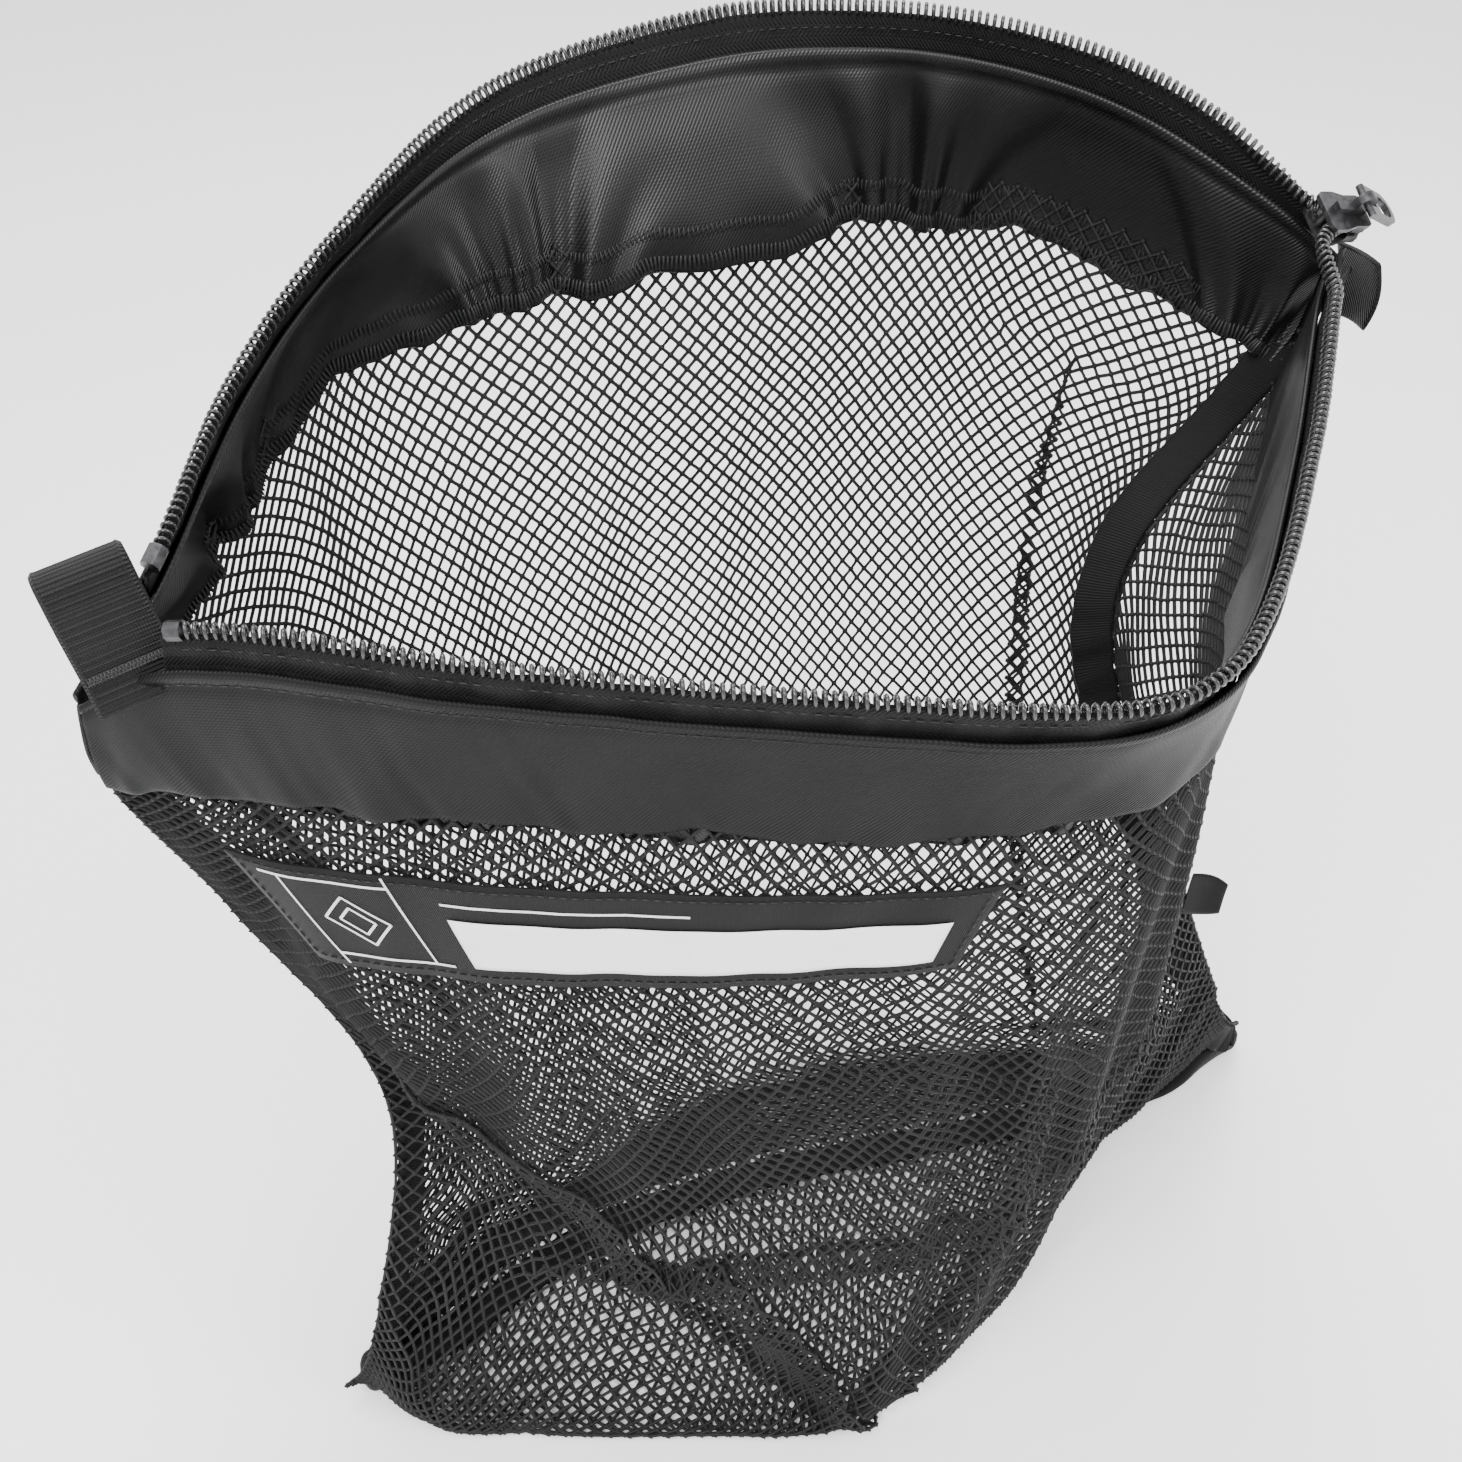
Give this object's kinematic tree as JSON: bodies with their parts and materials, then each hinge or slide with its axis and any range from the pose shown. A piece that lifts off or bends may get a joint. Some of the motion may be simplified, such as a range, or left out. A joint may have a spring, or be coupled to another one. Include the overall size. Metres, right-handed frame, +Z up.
{
  "type": "mesh kit bag",
  "caption": "See-through net kit bag with a zipped satin mouth, hanging loop and name label, standing open on its base.",
  "frame": {"origin": "on the resting face of the base, midway between the two bottom corners of the bag", "axes": "+X runs along the bottom seam from the left corner to the right corner, -Y is the front with the name label, +Z is up"},
  "size_m": [0.3781, 0.2373, 0.3761],
  "materials": {
    "net": "knotted nylon net, matt",
    "satin": "satin twill, soft sheen",
    "tape": "herringbone woven tape",
    "coil": "nylon coil, shiny",
    "zip_metal": "gunmetal plating, satin",
    "webbing": "ribbed webbing, matt",
    "thread": "dense stitching",
    "binding": "plain woven tape, matt",
    "label": "woven label, matt",
    "writing": "smooth white writing panel"
  },
  "bodies": {
    "bag": {"front_net": "net", "back_net": "net", "front_band": "satin", "back_band": "satin", "front_band_facing": "satin", "back_band_facing": "satin", "front_zip_tape": "tape", "back_zip_tape": "tape", "front_zip_coil": "coil", "back_zip_coil": "coil", "zip_top_stops": "zip_metal", "zip_bottom_stop": "zip_metal", "slider_body": "zip_metal", "slider_bridge": "zip_metal", "hang_loop": "webbing", "loop_bar_tack": "thread", "end_tab": "satin", "left_seam_binding": "binding", "right_seam_binding": "binding", "bottom_seam_binding": "binding", "name_label": "label", "writing_panel": "writing", "flag_label": "label"},
    "pull": {"pull_tab": "zip_metal"}
  },
  "joints": [
    {"name": "pull_flip", "type": "hinge", "parent": "bag", "child": "pull", "pos_m": [0.14558, 0.02057, 0.34322], "axis": [0.0868, 0.866, 0.4924], "range_deg": [-145, 15]}
  ]
}
